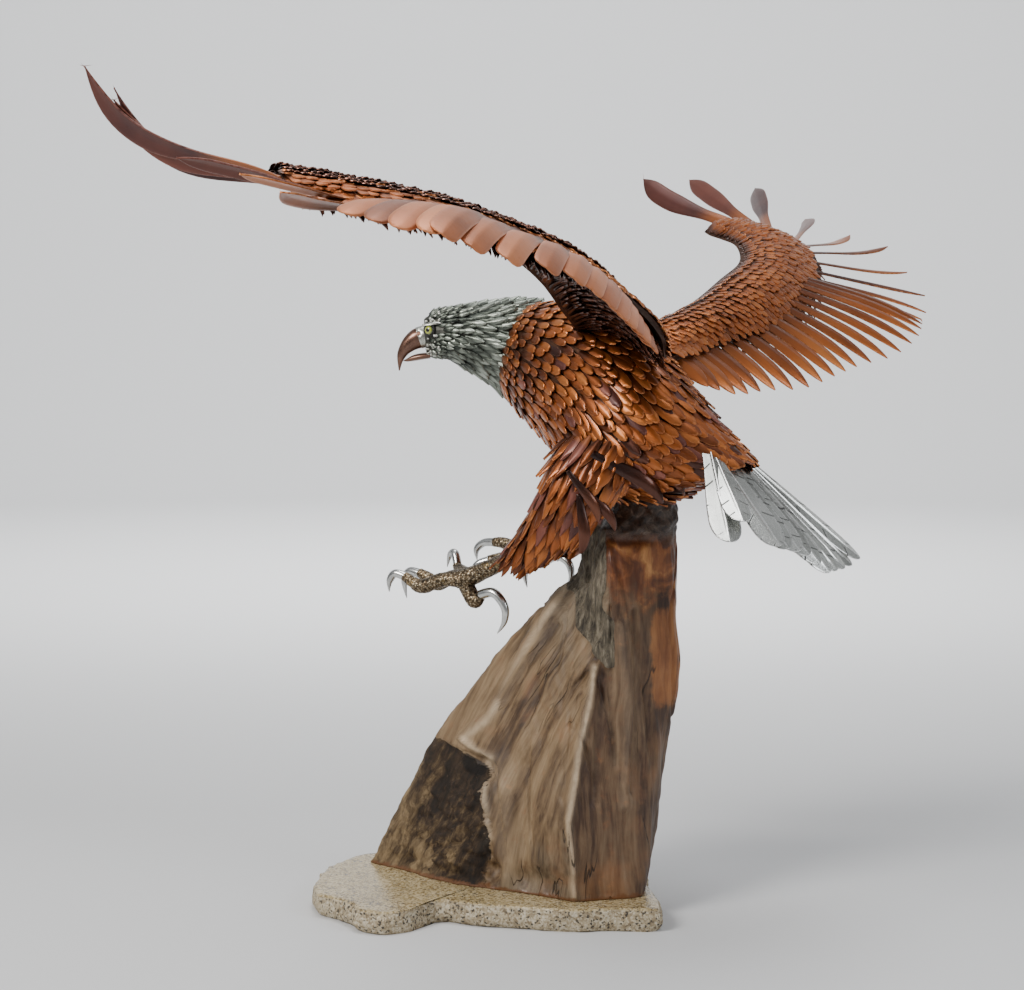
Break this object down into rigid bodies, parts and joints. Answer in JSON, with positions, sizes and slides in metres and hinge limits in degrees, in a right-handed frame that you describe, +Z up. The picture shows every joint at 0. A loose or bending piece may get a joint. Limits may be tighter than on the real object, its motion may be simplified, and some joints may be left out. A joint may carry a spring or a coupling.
{
  "type": "metal eagle sculpture",
  "caption": "Life-size eagle of welded steel feathers, wings raised and talons forward, on a driftwood stump and a broken-edged stone slab.",
  "frame": {"origin": "centre of the stone slab's flat underside", "axes": "+Z up, +X to the right as seen from the front view, +Y away from that viewer; the bird faces about 30 degrees off -X, away from the viewer"},
  "size_m": [1.2834, 1.807, 1.2409],
  "materials": {
    "granite": "matte",
    "driftwood": "satin",
    "copper_feathers": "satin",
    "dark_feathers": "gloss",
    "grey_steel_feathers": "satin",
    "tail_steel": "satin",
    "horn": "satin",
    "bright_steel": "gloss",
    "bronze_weld": "satin",
    "polished_claw": "polished",
    "eye_glass": "gloss"
  },
  "bodies": {
    "root": {"granite_slab": "granite", "driftwood_stump": "driftwood", "body": "copper_feathers", "head": "grey_steel_feathers", "upper_beak": "horn", "lower_beak": "horn", "cere": "bright_steel", "left_eye": "eye_glass", "left_wing": "copper_feathers", "left_thigh": "copper_feathers", "left_foot": "bronze_weld", "left_claw_1": "polished_claw", "left_claw_2": "polished_claw", "left_claw_3": "polished_claw", "left_claw_4": "polished_claw", "left_primary_1": "dark_feathers", "left_primary_2": "dark_feathers", "left_primary_3": "dark_feathers", "left_primary_4": "dark_feathers", "left_primary_5": "copper_feathers", "left_primary_6": "copper_feathers", "left_primary_7": "copper_feathers", "left_primary_8": "copper_feathers", "left_primary_9": "copper_feathers", "left_primary_10": "copper_feathers", "right_eye": "eye_glass", "right_wing": "copper_feathers", "right_thigh": "copper_feathers", "right_foot": "bronze_weld", "right_claw_1": "polished_claw", "right_claw_2": "polished_claw", "right_claw_3": "polished_claw", "right_claw_4": "polished_claw", "right_primary_1": "dark_feathers", "right_primary_2": "dark_feathers", "right_primary_3": "dark_feathers", "right_primary_4": "dark_feathers", "right_primary_5": "copper_feathers", "right_primary_6": "copper_feathers", "right_primary_7": "copper_feathers", "right_primary_8": "copper_feathers", "right_primary_9": "copper_feathers", "right_primary_10": "copper_feathers", "tail_feather_1": "tail_steel", "tail_feather_2": "tail_steel", "tail_feather_3": "tail_steel", "tail_feather_4": "tail_steel", "tail_feather_5": "tail_steel", "tail_feather_6": "tail_steel", "tail_feather_7": "tail_steel", "tail_feather_8": "tail_steel", "tail_feather_9": "tail_steel", "tail_feather_10": "tail_steel", "tail_feather_11": "tail_steel", "tail_feather_12": "tail_steel"}
  },
  "joints": []
}
